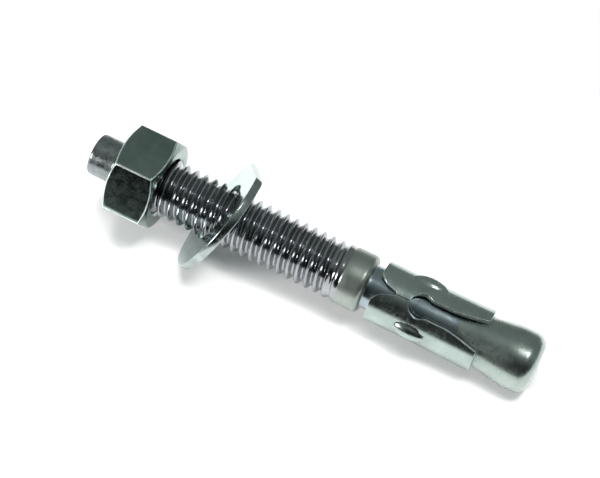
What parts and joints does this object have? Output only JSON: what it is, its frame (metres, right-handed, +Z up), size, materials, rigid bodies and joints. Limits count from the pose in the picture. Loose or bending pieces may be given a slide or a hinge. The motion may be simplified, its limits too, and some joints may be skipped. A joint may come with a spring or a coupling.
{
  "type": "wedge anchor",
  "caption": "Zinc plated wedge anchor: threaded stud with dog point, collar and flared cone, slotted expansion clip, hex nut and flat washer.",
  "frame": {"origin": "middle of the part's box at the level of the floor it lies on", "axes": "+X from the nut end to the cone end along the floor, +Z up; the bolt slopes down towards the cone by 4.68 degrees, because the washer's rim holds the nut end up"},
  "size_m": [0.0764, 0.0206, 0.0183],
  "materials": {
    "bolt_zinc": "bright zinc plate, satin on the cone and collar",
    "clip_zinc": "zinc plated sheet, satin",
    "nut_zinc": "zinc plate with fine scratches",
    "washer_zinc": "bright zinc plate, striated rim"
  },
  "bodies": {
    "anchor": {"anchor_bolt": "bolt_zinc", "expansion_clip": "clip_zinc", "flat_washer": "washer_zinc"},
    "nut": {"hex_nut": "nut_zinc"}
  },
  "joints": [
    {"name": "nut_turn", "type": "hinge", "parent": "anchor", "child": "nut", "pos_m": [-0.02915, 0, 0.01024], "axis": [0.9967, 0, -0.0816], "continuous": true}
  ]
}
